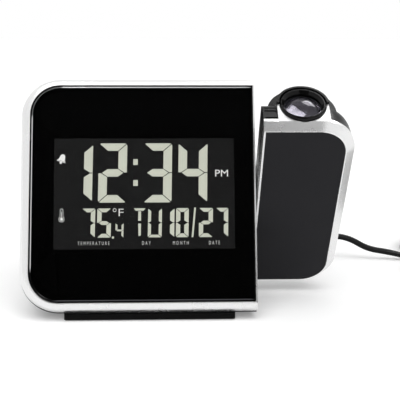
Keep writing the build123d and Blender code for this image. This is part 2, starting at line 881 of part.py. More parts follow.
# ------------------------------------------------------------------ arm: frame and panel
frame_profile = [(0, 0), (arm_edge, arm_edge_share), (arm_slope, 1), (arm_frame_depth, 1)]
with BuildPart() as arm_frame:
    # a steep bevel beside the panel, one long slope and an upright band
    for depth, flare in frame_profile:
        with BuildSketch(arm_behind(depth)):
            arm_shape(arm_side * flare, arm_end * flare, arm_trim)
    loft(ruled=True)
    # tongue that reaches back to the lens ring; the ring's bore leaves two pointed horns
    with BuildSketch(arm_profile(barrel_x - horn_half_w)):
        with BuildLine():
            Polyline(
                (arm_slope, horn_root),
                (arm_slope, arm_end),
                (barrel_depth, horn_h),
                (barrel_depth, horn_root),
                close=True,
            )
        make_face()
    extrude(amount=2 * horn_half_w)
    with BuildSketch(arm_behind(0)):
        arm_shape(0, 0, 0)
    extrude(amount=-(panel_front + panel_t), mode=Mode.SUBTRACT)
    with BuildSketch(arm_behind(0)):
        arm_shape(-arm_ledge, -arm_ledge, -arm_ledge)
    extrude(amount=-arm_frame_depth, mode=Mode.SUBTRACT)
    with BuildSketch(arm_across(ring_low)):
        Circle(ring_bore_r)
    extrude(amount=2 * horn_h - ring_low, mode=Mode.SUBTRACT)
finish(arm_frame, "arm_frame")

with BuildPart() as arm_panel:
    with BuildSketch(arm_behind(panel_front)):
        arm_shape(-fit_gap, -fit_gap, -fit_gap)
    extrude(amount=-panel_t)
finish(arm_panel, "arm_panel")

# ------------------------------------------------------------------ arm: rear shell
arm_back_depth = arm_depth - arm_frame_depth


def arm_core(inset):
    """Adds the arm's rear form behind its frame, all walls moved inward by inset."""
    sections = []
    for height_share, grow in flank(arm_steps):
        depth = arm_frame_depth + (arm_back_depth - inset) * grow
        share = 1 - height_share
        with BuildSketch(arm_behind(depth)) as section:
            arm_shape(arm_side * share - inset, arm_end * share - inset, arm_trim - inset)
        sections.append(section.sketch.face())
    loft(sections)


def shoulder_height(depth):
    """Height of the rear form over the panel's top edge, at a depth."""
    share = (depth - arm_frame_depth) / arm_back_depth
    return arm_end * sqrt(1 - share**2)


with BuildPart() as arm_cavity:
    arm_core(arm_wall)
    with BuildSketch(arm_across(barrel_low - half_panel)):
        Circle(barrel_r - barrel_wall)
    extrude(amount=half_panel - barrel_low + barrel_top - barrel_wall)
    with BuildSketch(side_plane(arm_left + arm_wall)):
        Circle(knuckle_r - arm_wall)
    extrude(amount=knuckle_l)
    split(bisect_by=arm_behind(arm_frame_depth), keep=Keep.BOTTOM)

arm_board_front = arm_depth - arm_wall - flange_t - rest_gap - key_gap - arm_board_t
arm_post_spots = [(barrel_x + side * (arm_board_w / 2 - post_r), flip_y) for side in (-1, 1)]

with BuildPart() as arm_rear_shell:
    arm_core(0)
    with BuildSketch(arm_across(barrel_low - half_panel)):
        Circle(barrel_r)
    extrude(amount=half_panel - barrel_low + barrel_top)
    with BuildSketch(arm_across(barrel_low - half_panel)):
        Circle(barrel_r)
    with BuildSketch(arm_across(tail_y - half_panel)):
        Circle(barrel_tail_r)
    loft()
    with BuildSketch(side_plane(arm_left)):
        Circle(knuckle_r)
    extrude(amount=knuckle_l)
    with BuildSketch(arm_across(0)):
        Circle(collar_r)
    extrude(amount=collar_h)
    split(bisect_by=arm_behind(arm_frame_depth), keep=Keep.BOTTOM)
    add(arm_cavity.part, mode=Mode.SUBTRACT)
    # room for the frame's tongue
    with BuildSketch(arm_across(horn_root - fit_gap)):
        with Locations((0, -barrel_depth / 2)):
            Rectangle(2 * (horn_half_w + fit_gap), barrel_depth + 2 * fit_gap)
    extrude(amount=collar_h, mode=Mode.SUBTRACT)
    with BuildSketch(arm_across(ring_low - 2 * rest_gap)):
        Circle(ring_bore_r)
    extrude(amount=2 * collar_h - ring_low, mode=Mode.SUBTRACT)
    # ribs across the shoulder beside the barrel
    with BuildSketch(arm_profile(arm_trim)):
        for depth, width in rib_grooves:
            with Locations((depth, shoulder_height(depth) - rib_deep)):
                Rectangle(width, arm_end, align=(Align.CENTER, Align.MIN))
    extrude(amount=barrel_x - horn_half_w - fit_gap - arm_trim, mode=Mode.SUBTRACT)
    with BuildSketch(side_plane(arm_left)):
        Circle(shaft_r + shaft_clear)
    extrude(amount=arm_wall, mode=Mode.SUBTRACT)
    with BuildSketch(arm_behind(arm_depth - arm_wall)):
        with Locations((barrel_x, flip_y)):
            Circle(flip_r + button_gap)
    extrude(amount=-arm_wall, mode=Mode.SUBTRACT)
    # posts of the arm's key board
    with BuildSketch(arm_behind(arm_board_front + arm_board_t)):
        with Locations(*arm_post_spots):
            Circle(post_r)
    extrude(amount=arm_board_front + arm_board_t - arm_depth + arm_wall)
finish(arm_rear_shell, "arm_rear_shell")

# ------------------------------------------------------------------ projector
with BuildPart() as projector_tube:
    with BuildSketch(arm_across(ring_low - rest_gap)):
        Circle(tube_flange_r)
    extrude(amount=-tube_flange_t)
    split(bisect_by=arm_behind(arm_frame_depth + fit_gap), keep=Keep.BOTTOM)
    with BuildSketch(arm_across(ring_low - rest_gap)):
        Circle(tube_r)
    extrude(amount=-(half_panel + ring_low - tube_low))
    with BuildSketch(arm_across(ring_low)):
        Circle(cell_r + cell_clear)
    extrude(amount=-(half_panel + ring_low - tube_low), mode=Mode.SUBTRACT)
finish(projector_tube, "projector_tube")

ring_axis = Axis(arm_across(0).origin, arm.y_dir)


def turned(points):
    """Revolves a half profile of (radius, height above the panel's top edge) about the barrel's axis."""
    centre = arm_across(0)
    with BuildSketch(Plane(origin=centre.origin, x_dir=(1, 0, 0), z_dir=-centre.y_dir)) as profile:
        with BuildLine():
            Polyline(*points, close=True)
        make_face()
    revolve(profile.sketch.face(), axis=ring_axis)


with BuildPart() as focus_ring:
    turned(
        [
            (cell_r + ring_cell_clear, ring_low),
            (ring_r, ring_low),
            (ring_r, ring_top - ring_edge),
            (ring_r - ring_edge, ring_top),
            (ring_mouth_r, ring_top),
            (ring_throat_r, ring_lip_low + ring_lip_t),
            (ring_throat_r, ring_lip_low),
            (cell_r + ring_cell_clear, ring_lip_low),
        ]
    )
finish(focus_ring, "focus_ring")

with BuildPart() as lens_cell:
    turned(
        [
            (lens_r - lens_seat, cell_low),
            (cell_r, cell_low),
            (cell_r, cell_top),
            (lens_r + cell_clear, cell_top),
            (lens_r + cell_clear, lens_low),
            (lens_r - lens_seat, lens_low),
        ]
    )
finish(lens_cell, "lens_cell")

with BuildPart() as projection_lens:
    centre = arm_across(0)
    with BuildSketch(Plane(origin=centre.origin, x_dir=(1, 0, 0), z_dir=-centre.y_dir)):
        with BuildLine():
            base = Line((0, lens_low), (lens_r, lens_low))
            edge = Line(base @ 1, (lens_r, lens_low + lens_edge_t))
            dome_top = lens_low + lens_edge_t + lens_rise
            dome_r = (lens_r**2 + lens_rise**2) / (2 * lens_rise)
            mid_x = lens_r / 2
            mid_y = dome_top - dome_r + sqrt(dome_r**2 - mid_x**2)
            ThreePointArc(edge @ 1, (mid_x, mid_y), (0, dome_top))
            Line((0, dome_top), (0, lens_low))
        make_face()
    revolve(axis=ring_axis)
finish(projection_lens, "projection_lens")

tube_mouth = tube_low - half_panel
with BuildPart() as shutter_cell:
    with BuildSketch(arm_across(tube_mouth - rest_gap)):
        Rectangle(shutter_w, shutter_w)
    extrude(amount=-shutter_t)
finish(shutter_cell, "shutter_cell")

lamp_board_top = tube_mouth - rest_gap - shutter_t - 2 * rest_gap - lamp_l
with BuildPart() as lamp:
    with BuildSketch(arm_across(lamp_board_top)):
        Circle(lamp_r)
    extrude(amount=lamp_l)
    fillet(lamp.faces().sort_by(Axis(arm.origin, arm.y_dir))[-1].edges(), lamp_r * 0.8)
finish(lamp, "lamp")

with BuildPart() as lamp_board:
    with BuildSketch(arm_across(lamp_board_top)):
        Circle(barrel_r - barrel_wall - fit_gap)
    extrude(amount=-lamp_board_t)
    split(bisect_by=arm_behind(arm_frame_depth + fit_gap), keep=Keep.BOTTOM)
finish(lamp_board, "lamp_board")

with BuildPart() as arm_board:
    with BuildSketch(arm_behind(arm_board_front)):
        with Locations((barrel_x, flip_y)):
            Rectangle(arm_board_w, arm_board_h)
    extrude(amount=-arm_board_t)
finish(arm_board, "arm_board")

with BuildPart() as flip_button:
    with BuildSketch(arm_behind(arm_depth - arm_wall - rest_gap)):
        with Locations((barrel_x, flip_y)):
            Circle(flip_r)
    extrude(amount=-(arm_wall + rest_gap + flip_proud))
    chamfer(flip_button.faces().sort_by(Axis(arm.origin, arm.z_dir))[0].edges(), flip_edge)
    with BuildSketch(arm_behind(arm_depth - arm_wall - rest_gap)):
        with Locations((barrel_x, flip_y)):
            Circle(flip_flange_r)
    extrude(amount=flange_t)
finish(flip_button, "flip_button")

# ------------------------------------------------------------------ supply lead
lead_points = [
    (jack_x, relief_end, jack_z),
    (31, 66, 13.5),
    (38, 77, 13.4),
    (52, 83, 13.5),
    (70, 85, 13.4),
    (88, 84.6, 13.5),
    (104, 83, 12.6),
    (117, 82, 9.4),
    (131, 81, 5.2),
    (145.5, 79, 2.3),
    (159.5, 77, 1.7),
]
tail_points = [
    (149.2, 96, 11.9),
    (150.2, 88, 11.2),
    (154.6, 80, 9.8),
    (158.6, 73, 8.6),
    (160, 65.4, 8.2),
]


def lead(points, name):
    """Sweeps the lead's round section along straight runs joined by tangent arcs."""
    runs = [Vector(b) - Vector(a) for a, b in zip(points, points[1:])]
    radii = []
    for before, after in zip(runs, runs[1:]):
        turn = before.get_angle(after)
        radii.append(0.45 * min(before.length, after.length) / tan(radians(turn / 2)))
    with BuildPart() as tube:
        with BuildLine() as path:
            FilletPolyline(*points, radius=radii)
        with BuildSketch(Plane(origin=points[0], z_dir=runs[0])):
            Circle(cord_d / 2)
        sweep()
    length = path.wire().length
    expected = length * pi * cord_d**2 / 4
    print(name, "length", round(length, 1), "radii", [round(r, 1) for r in radii])
    print(name, "volume", round(tube.part.volume, 1), "section times length", round(expected, 1))
    finish(tube, name)
    return length


lead_length = lead(lead_points, "supply_lead")
tail_length = lead(tail_points, "supply_lead_tail")
coil_turns = (cord_total - lead_length - tail_length) / (pi * coil_d)
print("coil turns", round(coil_turns, 2))

with BuildPart() as supply_coil:
    with BuildSketch(Plane.XY):
        with Locations((coil_x, coil_y)):
            Circle((coil_d + coil_columns * cord_d) / 2)
            Circle((coil_d - coil_columns * cord_d) / 2, mode=Mode.SUBTRACT)
    extrude(amount=coil_layers * cord_d)
finish(supply_coil, "supply_coil")

tail_end = tail_points[-1]
adapter_back = adapter_y + adapter_d / 2
with BuildPart() as supply_adapter:
    with Locations((adapter_x, adapter_y, 0)):
        Box(adapter_w, adapter_d, adapter_h, align=(Align.CENTER, Align.CENTER, Align.MIN))
    fillet(supply_adapter.edges().filter_by(Axis.Z), adapter_round)
    fillet(supply_adapter.faces().sort_by(Axis.Z)[-1].edges(), adapter_round / 2)
    # strain relief on the back face
    with Locations((tail_end[0], adapter_back, tail_end[2])):
        Cone(
            cord_d,
            cord_d / 2 + cone_end,
            tail_end[1] - adapter_back,
            rotation=(-90, 0, 0),
            align=(Align.CENTER, Align.CENTER, Align.MIN),
        )
finish(supply_adapter, "supply_adapter")

with BuildPart() as adapter_prongs:
    with Locations((adapter_x - adapter_w / 2, adapter_y, adapter_h / 2)):
        with GridLocations(0, prong_gap, 1, 2):
            Box(prong_l, prong_t, prong_w, align=(Align.MAX, Align.CENTER, Align.CENTER))
finish(adapter_prongs, "adapter_prongs")
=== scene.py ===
"""Looks of the projection alarm clock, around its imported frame. Metres, +Z up, viewer at -Y."""

import bmesh
import bpy
from math import cos, pi, radians, sin
from mathutils import Matrix, Vector

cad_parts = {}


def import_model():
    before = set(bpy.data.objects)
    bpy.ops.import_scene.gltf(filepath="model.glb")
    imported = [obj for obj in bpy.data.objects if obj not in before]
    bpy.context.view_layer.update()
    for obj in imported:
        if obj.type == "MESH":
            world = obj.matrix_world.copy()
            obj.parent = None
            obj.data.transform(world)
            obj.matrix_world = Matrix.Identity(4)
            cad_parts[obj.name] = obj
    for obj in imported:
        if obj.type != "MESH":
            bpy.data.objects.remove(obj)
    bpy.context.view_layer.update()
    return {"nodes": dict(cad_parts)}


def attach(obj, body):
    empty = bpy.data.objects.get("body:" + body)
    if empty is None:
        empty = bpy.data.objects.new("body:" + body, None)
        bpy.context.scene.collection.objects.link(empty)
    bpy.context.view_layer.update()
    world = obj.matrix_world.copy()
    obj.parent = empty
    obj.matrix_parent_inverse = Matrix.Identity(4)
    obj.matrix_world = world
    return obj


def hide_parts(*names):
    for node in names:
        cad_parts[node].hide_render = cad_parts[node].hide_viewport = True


MM = 0.001

# ------------------------------------------------------------------ places on the clock
LEAN = radians(19.0)                       # the face leans back from upright
FACE_EDGE = Vector((-3.3, -27.0, 10.2))    # middle of the face's lower edge, mm
FACE_UP = Vector((0, sin(LEAN), cos(LEAN)))
FACE_OUT = Vector((0, -cos(LEAN), sin(LEAN)))
FACE_W = 103.8
FACE_H = 101.1
FACE_R = 13.9
EDGE_IN = 1.0                              # middle of the window edge's painted highlight, inward from the rim
EDGE_WIDE = 0.46                           # along the straight sides
EDGE_THIN = 0.16                           # round the corner
EDGE_TIP = 0.05                            # at its two ends
EDGE_DEPTH = 0.26                          # the bead's foot behind the face
EDGE_RISE = 0.1
EDGE_TAPER = 2.5                           # length over which an end widens
EDGE_TURN_GAP = 1.5                        # the wide part ends this far before the corner
EDGE_TURN_STEPS = 8
EDGE_LOW_START = 0.8                       # the low edge begins at this share of the corner
CELL_DEPTH = 1.9                           # front of the display cell behind the face, mm
INK_LIFT = 0.03                            # the segments stand this far in front of the cell
INK_DEPTH = CELL_DEPTH - INK_LIFT
INK_T = 0.02

# ------------------------------------------------------------------ camera and lead
CAMERA_AT = Vector((7.25, -431.5, 140.4))  # mm
CAMERA_PITCH = 11.565
CAMERA_YAW = 2.196
CAMERA_ROLL = -0.18
CAMERA_LENS = 83.6

FLOOR_GLOW = 0.2                           # lifts the floor to white where it is seen
WORLD_FILL = 0.35                          # strength of the world's light on surfaces

# The suns light surfaces and stay out of reflections: name, way to the sun, degrees, strength.
SUNS = [
    ("key_light", (0.0, -1.0, 1.0), 60, 1.9),
    ("top_light", (0.0, -0.3, 1.0), 60, 0.8),
]
# The boxes show only in reflections: name, place, target, width, height, watts.
SOFT_BOXES = [
    ("top_box", (0.0, -0.4, 0.85), (0.0, 0.0, 0.08), 0.9, 0.25, 1.3),
    ("left_box", (-0.22, -0.03, 0.66), (0.06, 0.0, 0.08), 0.26, 0.26, 2.0),
    ("right_box", (0.3, 0.23, 0.6), (0.06, 0.0, 0.08), 0.3, 0.3, 2.6),
]
CARD_AT = (-0.03, -0.95, 0.24)
CARD_W = 0.75
CARD_H = 0.5

CORD_W = 3.4
CORD_T = 2.6
LEAD_TURNED = slice(4, 10)                 # the points where the flat lead stands half on edge
LEAD_TILT = 55.0
LEAD_POINTS = [
    (31, 54.3, 13.5),
    (31, 66, 13.5),
    (38, 77, 13.4),
    (52, 83, 13.5),
    (70, 85, 13.4),
    (88, 84.6, 13.5),
    (103, 83, 14.2),
    (113, 82, 12.6),
    (123, 81, 6.6),
    (136, 80, 4.8),
    (149, 78.5, 1.9),
    (159.5, 77, 1.7),
]
TAIL_POINTS = [
    (149.2, 96, 11.9),
    (150.2, 88, 11.2),
    (154.6, 80, 9.8),
    (158.6, 73, 8.6),
    (160, 65.4, 8.2),
]
COIL_AT = (172.0, 99.5)
COIL_RADII = [22.9, 19.5, 16.1]
COIL_STEP = 3.4
COIL_TURNS = 10.75
COIL_POINTS_PER_TURN = 16
COIL_CROSS = 0.25                          # last share of a turn, in which the cord changes place
COIL_RUN_OUT = 0.3                         # share of a turn in which the cord leaves the coil


# ------------------------------------------------------------------ small helpers
def on_face(u, v, depth):
    """A place in metres: u right of the face's middle, v up the face, depth behind it."""
    return (FACE_EDGE + Vector((u, 0, 0)) + FACE_UP * v - FACE_OUT * depth) * MM


def link(obj):
    bpy.context.scene.collection.objects.link(obj)
    return obj


def mesh_object(name, bm):
    mesh = bpy.data.meshes.new(name)
    bm.to_mesh(mesh)
    bm.free()
    return link(bpy.data.objects.new(name, mesh))


def paint(obj, material):
    obj.data.materials.clear()
    obj.data.materials.append(material)


def paint_node(name, material):
    node = frame["nodes"][name]
    for slot in node.material_slots:
        slot.material = material
    if not node.material_slots:
        node.data.materials.append(material)


# ------------------------------------------------------------------ materials
class Shader:
    """A Principled material with a few procedural layers."""

    def __init__(self, name, colour, roughness, **sockets):
        self.material = bpy.data.materials.new(name)
        self.material.use_nodes = True
        self.tree = self.material.node_tree
        self.bsdf = self.tree.nodes["Principled BSDF"]
        self.set("Base Color", (*colour, 1))
        self.set("Roughness", roughness)
        for socket, value in sockets.items():
            self.set(socket.replace("_", " "), value)
        self.coordinates = self.node("ShaderNodeTexCoord").outputs["Object"]

    def set(self, socket, value):
        self.bsdf.inputs[socket].default_value = value

    def node(self, kind, **inputs):
        made = self.tree.nodes.new(kind)
        for socket, value in inputs.items():
            made.inputs[socket.replace("_", " ")].default_value = value
        return made

    def join(self, source, target):
        self.tree.links.new(source, target)

    def noise(self, scale, detail=3.0, rough=0.5):
        made = self.node("ShaderNodeTexNoise", Scale=scale, Detail=detail, Roughness=rough)
        self.join(self.coordinates, made.inputs["Vector"])
        return made.outputs["Fac"]

    def spread(self, source, low, high):
        """Maps the middle of a noise to the range low..high."""
        made = self.node("ShaderNodeMapRange", From_Min=0.3, From_Max=0.7, To_Min=low, To_Max=high)
        self.join(source, made.inputs["Value"])
        return made.outputs["Result"]

    def vary_roughness(self, scale, low, high):
        self.join(self.spread(self.noise(scale), low, high), self.bsdf.inputs["Roughness"])
        return self

    def vary_colour(self, scale, dark, light):
        ramp = self.node("ShaderNodeValToRGB")
        ramp.color_ramp.elements[0].position = 0.35
        ramp.color_ramp.elements[1].position = 0.65
        ramp.color_ramp.elements[0].color = (*dark, 1)
        ramp.color_ramp.elements[1].color = (*light, 1)
        self.join(self.noise(scale), ramp.inputs["Fac"])
        self.join(ramp.outputs["Color"], self.bsdf.inputs["Base Color"])
        return self

    def grain(self, scale, height, detail=2.0):
        """Fine moulded texture as a bump, height in millimetres."""
        bump = self.node("ShaderNodeBump", Strength=1.0, Distance=height * MM)
        self.join(self.noise(scale, detail), bump.inputs["Height"])
        self.join(bump.outputs["Normal"], self.bsdf.inputs["Normal"])
        return self


def silver_paint():
    made = Shader("silver_paint", (0.78, 0.78, 0.78), 0.26, Metallic=0.9)
    made.vary_colour(9000, (0.77, 0.77, 0.77), (0.79, 0.79, 0.79))
    made.vary_roughness(60, 0.23, 0.29)
    return made.grain(7000, 0.002).material


def gloss_black():
    made = Shader("gloss_black", (0.003, 0.003, 0.003), 0.12, Specular_IOR_Level=0.14)
    return made.vary_roughness(45, 0.11, 0.18).material


def shell_black():
    made = Shader("shell_black", (0.004, 0.004, 0.004), 0.26, Specular_IOR_Level=0.08)
    return made.vary_roughness(45, 0.22, 0.32).material


def foot_black():
    made = Shader("foot_black", (0.003, 0.003, 0.003), 0.3, Specular_IOR_Level=0.05)
    return made.vary_roughness(80, 0.26, 0.36).material


def frame_black():
    made = Shader("frame_black", (0.002, 0.002, 0.002), 0.2, Specular_IOR_Level=0.08)
    return made.vary_roughness(60, 0.16, 0.26).material


def satin_black():
    made = Shader("satin_black", (0.012, 0.012, 0.014), 0.42, Specular_IOR_Level=0.25)
    made.vary_roughness(70, 0.38, 0.46)
    return made.grain(3500, 0.012).material


def textured_black():
    made = Shader("textured_black", (0.016, 0.016, 0.017), 0.55, Specular_IOR_Level=0.3)
    made.vary_colour(300, (0.013, 0.013, 0.014), (0.02, 0.02, 0.021))
    made.vary_roughness(120, 0.5, 0.6)
    return made.grain(2200, 0.03, 4.0).material


def panel_black():
    """The arm's insert: a charcoal satin film with a very fine grain."""
    made = Shader("panel_black", (0.012, 0.012, 0.014), 0.4, Specular_IOR_Level=0.12)
    made.vary_colour(4000, (0.009, 0.009, 0.011), (0.015, 0.015, 0.017))
    made.vary_roughness(50, 0.46, 0.54)
    return made.grain(5000, 0.006).material


def window_clear():
    made = Shader("window_clear", (0.001, 0.001, 0.001), 0.1, Alpha=0.1, Specular_IOR_Level=0.08)
    return made.vary_roughness(30, 0.09, 0.13).material


def mask_black():
    made = Shader("mask_black", (0.0012, 0.0012, 0.0012), 0.5, Specular_IOR_Level=0.0)
    return made.vary_colour(900, (0.001, 0.001, 0.001), (0.0014, 0.0014, 0.0014)).material


def cell_dark():
    made = Shader("cell_dark", (0.015, 0.015, 0.015), 0.5, Specular_IOR_Level=0.0)
    return made.vary_colour(700, (0.014, 0.014, 0.014), (0.016, 0.016, 0.016)).material


def segment_light():
    """Lit segments: pale greenish grey with the cell's fine vertical rubbing lines, and a weak glow
    of painted light.
    """
    made = Shader("segment_light", (0.68, 0.7, 0.59), 0.55, Specular_IOR_Level=0.0)
    # The emission is painted light: it makes the segments glow a little.
    made.set("Emission Color", (0.68, 0.7, 0.59, 1))
    made.set("Emission Strength", 0.05)
    return made.vary_colour(2500, (0.66, 0.68, 0.57), (0.71, 0.73, 0.62)).material


def caption_white():
    made = Shader("caption_white", (0.72, 0.72, 0.7), 0.6, Specular_IOR_Level=0.0)
    # The emission is painted light: it makes the printed captions and icons glow.
    made.set("Emission Color", (0.72, 0.72, 0.7, 1))
    made.set("Emission Strength", 0.45)
    return made.vary_colour(2500, (0.7, 0.7, 0.68), (0.74, 0.74, 0.72)).material


# Painted highlight: a pale metallic tone for the bright top and left of the window's edge.
def painted_highlight_edge():
    made = Shader("painted_highlight_edge", (0.5, 0.5, 0.51), 0.35, Metallic=0.6)
    return made.vary_roughness(300, 0.3, 0.4).material


# Painted shade: a dark tone for the window edge's lower side.
def painted_shade_edge():
    made = Shader("painted_shade_edge", (0.03, 0.03, 0.035), 0.35, Specular_IOR_Level=0.2)
    return made.vary_roughness(300, 0.3, 0.4).material


def guide_white():
    return Shader("guide_white", (0.85, 0.87, 0.9), 0.5).vary_roughness(90, 0.4, 0.55).material


def board_green():
    made = Shader("board_green", (0.02, 0.12, 0.05), 0.35)
    return made.vary_colour(900, (0.016, 0.1, 0.04), (0.026, 0.15, 0.065)).material


def steel():
    made = Shader("steel", (0.62, 0.62, 0.63), 0.3, Metallic=1.0)
    return made.vary_roughness(900, 0.22, 0.38).material


def bronze():
    made = Shader("bronze", (0.6, 0.42, 0.2), 0.35, Metallic=1.0)
    return made.vary_roughness(900, 0.28, 0.42).material


def nickel():
    made = Shader("nickel", (0.72, 0.69, 0.62), 0.22, Metallic=1.0)
    return made.vary_roughness(500, 0.16, 0.3).material


def jacket():
    made = Shader("jacket", (0.03, 0.09, 0.05), 0.28, Coat_Weight=0.4)
    return made.vary_roughness(80, 0.24, 0.34).material


def rubber():
    made = Shader("rubber", (0.02, 0.02, 0.02), 0.75)
    made.vary_roughness(400, 0.68, 0.82)
    return made.grain(2500, 0.03).material


def sheath():
    made = Shader("sheath", (0.003, 0.003, 0.003), 0.38, Specular_IOR_Level=0.16)
    made.vary_roughness(200, 0.32, 0.44)
    return made.grain(1500, 0.008).material


def lens_glass():
    made = Shader("lens_glass", (0.62, 0.6, 0.68), 0.02, Transmission_Weight=1.0, IOR=1.3)
    made.set("Specular Tint", (0.88, 0.84, 0.97, 1))
    return made.material


def lamp_red():
    return Shader("lamp_red", (0.7, 0.03, 0.02), 0.15).vary_roughness(300, 0.1, 0.2).material


# ------------------------------------------------------------------ display: segments and captions
def flat_piece(name, outlines, material):
    """One thin piece of ink: closed outlines given in face millimetres (u, v)."""
    bm = bmesh.new()
    for outline in outlines:
        low = [bm.verts.new(on_face(u, v, INK_DEPTH)) for u, v in outline]
        high = [bm.verts.new(on_face(u, v, INK_DEPTH - INK_T)) for u, v in outline]
        bm.faces.new(high)
        bm.faces.new(list(reversed(low)))
        for k in range(len(outline)):
            nxt = (k + 1) % len(outline)
            bm.faces.new([low[k], low[nxt], high[nxt], high[k]])
    bmesh.ops.recalc_face_normals(bm, faces=bm.faces)
    piece = mesh_object(name, bm)
    paint(piece, material)
    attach(piece, "main")


def arc(centre, radius, start, stop, steps=4):
    """Points along an arc, angles in degrees."""
    turn = [radians(start + (stop - start) * k / steps) for k in range(steps + 1)]
    return [(centre[0] + radius * cos(t), centre[1] + radius * sin(t)) for t in turn]


SLANT = 0.018                              # a sign leans right by this share of its height
SLIT_SHARE = 0.7                           # a mitred slit is narrower than the gap across
BAR_SHARE = 0.88                           # a level bar is thinner than an upright
NOSE_SHARE = 0.3                           # the middle bar stops this short of the outer edge
NOSE_SLITS = 1.6                           # and by this many slits more


def segment_outlines(width, height, stroke, gap, round_r):
    """A digit's seven segments, mitred where they meet, as outlines from its lower left corner."""
    half = height / 2
    slit = SLIT_SHARE * gap
    thick = BAR_SHARE * stroke
    nose = NOSE_SHARE * stroke
    k = round_r * (1 - cos(pi / 4))
    upright = [
        (width, half + gap / 2),
        (width, height - round_r),
        (width - k, height - k - slit),
        (width - stroke, height - thick - slit),
        (width - stroke, half + thick / 2 + slit),
        (width - nose, half + gap / 2),
    ]
    bar = [
        (round_r, height),
        (width - round_r, height),
        (width - k - slit, height - k),
        (width - stroke - slit, height - thick),
        (stroke + slit, height - thick),
        (k + slit, height - k),
    ]
    middle = [
        (nose + NOSE_SLITS * slit, half),
        (stroke + slit / 2, half + thick / 2),
        (width - stroke - slit / 2, half + thick / 2),
        (width - nose - NOSE_SLITS * slit, half),
        (width - stroke - slit / 2, half - thick / 2),
        (stroke + slit / 2, half - thick / 2),
    ]

    def mirror_u(outline):
        return [(width - u, v) for u, v in reversed(outline)]

    def mirror_v(outline):
        return [(u, height - v) for u, v in reversed(outline)]

    return {
        "a": bar,
        "b": upright,
        "c": mirror_v(upright),
        "d": mirror_v(bar),
        "e": mirror_u(mirror_v(upright)),
        "f": mirror_u(upright),
        "g": middle,
    }


DIGIT_SEGMENTS = {
    "0": "abcdef",
    "1": "bc",
    "2": "abged",
    "3": "abgcd",
    "4": "fgbc",
    "5": "afgcd",
    "7": "abc",
    "U": "fedcb",
}


def digit(name, sign, left, right, low, high, stroke, gap, round_r, material):
    """A seven-segment sign between two sides, leaning right a little."""
    height = high - low
    width = right - left - SLANT * height
    shapes = segment_outlines(width, height, stroke, gap, round_r)
    lit = [[(left + u + SLANT * v, low + v) for u, v in shapes[s]] for s in DIGIT_SEGMENTS[sign]]
    flat_piece(name, lit, material)


def caption(name, words, left, right, low, high, material, bold=0.0, spacing=1.0):
    """Plain lettering, sized to fill its box on the display."""
    text = bpy.data.curves.new(name, "FONT")
    text.body = words
    text.space_character = spacing
    text.extrude = INK_T * MM / 2
    text.offset = bold
    probe = link(bpy.data.objects.new(name, text))
    bpy.context.view_layer.update()
    mesh = bpy.data.meshes.new_from_object(probe)
    bpy.data.objects.remove(probe)
    bpy.data.curves.remove(text)
    xs = [v.co.x for v in mesh.vertices]
    ys = [v.co.y for v in mesh.vertices]
    wide = (right - left) / (max(xs) - min(xs))
    tall = (high - low) / (max(ys) - min(ys))
    middle_z = (max(v.co.z for v in mesh.vertices) + min(v.co.z for v in mesh.vertices)) / 2
    for vertex in mesh.vertices:
        u = left + (vertex.co.x - min(xs)) * wide
        v = low + (vertex.co.y - min(ys)) * tall
        rise = (vertex.co.z - middle_z) / MM
        vertex.co = on_face(u, v, INK_DEPTH - rise)
    piece = link(bpy.data.objects.new(name, mesh))
    paint(piece, material)
    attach(piece, "main")


def big_row(ink):
    low, high = 46.0, 73.8
    stroke, gap, round_r = 4.0, 0.36, 1.0
    digit("hour_tens", "1", -32.0, -22.75, low + 0.55, high - 0.6, stroke, gap, 0.7, ink)
    digit("hour_units", "2", -20.5, -6.9, low, high, stroke, gap, round_r, ink)
    digit("minute_tens", "3", 0.4, 14.0, low, high, stroke, gap, round_r, ink)
    digit("minute_units", "4", 16.5, 30.5, low, high, stroke, gap, 0.8, ink)
    dots = [[(-4.15, v), (-2.05, v), (-2.05, v + 2.75), (-4.15, v + 2.75)] for v in (53.75, 63.6)]
    flat_piece("hour_colon", dots, ink)


def small_row(ink):
    low, high = 29.8, 43.3
    stroke, gap, round_r = 2.0, 0.24, 0.45
    signs = [
        ("degree_tens", "7", -27.9, -21.6),
        ("degree_units", "5", -20.9, -14.3),
        ("month_tens", "1", 10.0, 14.9),
        ("month_units", "0", 15.4, 21.5),
        ("date_tens", "2", 26.0, 32.7),
        ("date_units", "7", 33.9, 39.8),
    ]
    for name, sign, left, right in signs:
        digit(name, sign, left, right, low, high, stroke, gap, round_r, ink)
    digit("degree_tenths", "4", -12.4, -8.6, low, 36.4, 0.9, 0.12, 0.1, ink)
    digit("day_second", "U", 2.5, 9.1, low, high, 1.4, 0.24, 0.45, ink)
    flat_piece("degree_point", [arc((-13.5, 29.85), 0.55, 0, 330, 11)], ink)
    stem_u = -1.2
    upper_end = high - 1.35
    bar = [(-3.9, high), (1.5, high), (0.6, high - 1.1), (-3.0, high - 1.1)]
    upper = [
        (stem_u - 0.65, upper_end),
        (stem_u + 0.65, upper_end),
        (stem_u + 0.62, 37.5),
        (stem_u - 0.7, 37.5),
    ]
    lower = [
        (stem_u - 0.7, 36.2),
        (stem_u + 0.6, 36.2),
        (stem_u + 0.5, low + 0.9),
        (stem_u - 0.55, low + 0.6),
    ]
    flat_piece("day_first", [bar, upper, lower], ink)
    slash = [(22.7, low), (23.5, low), (24.8, high + 0.2), (24.0, high + 0.2)]
    flat_piece("date_slash", [slash], ink)


SMALL_CAPTIONS = [
    ("caption_temperature", "TEMPERATURE", -29.6, -15.1),
    ("caption_day", "DAY", -0.1, 3.8),
    ("caption_month", "MONTH", 14.1, 21.3),
    ("caption_date", "DATE", 30.7, 35.7),
]


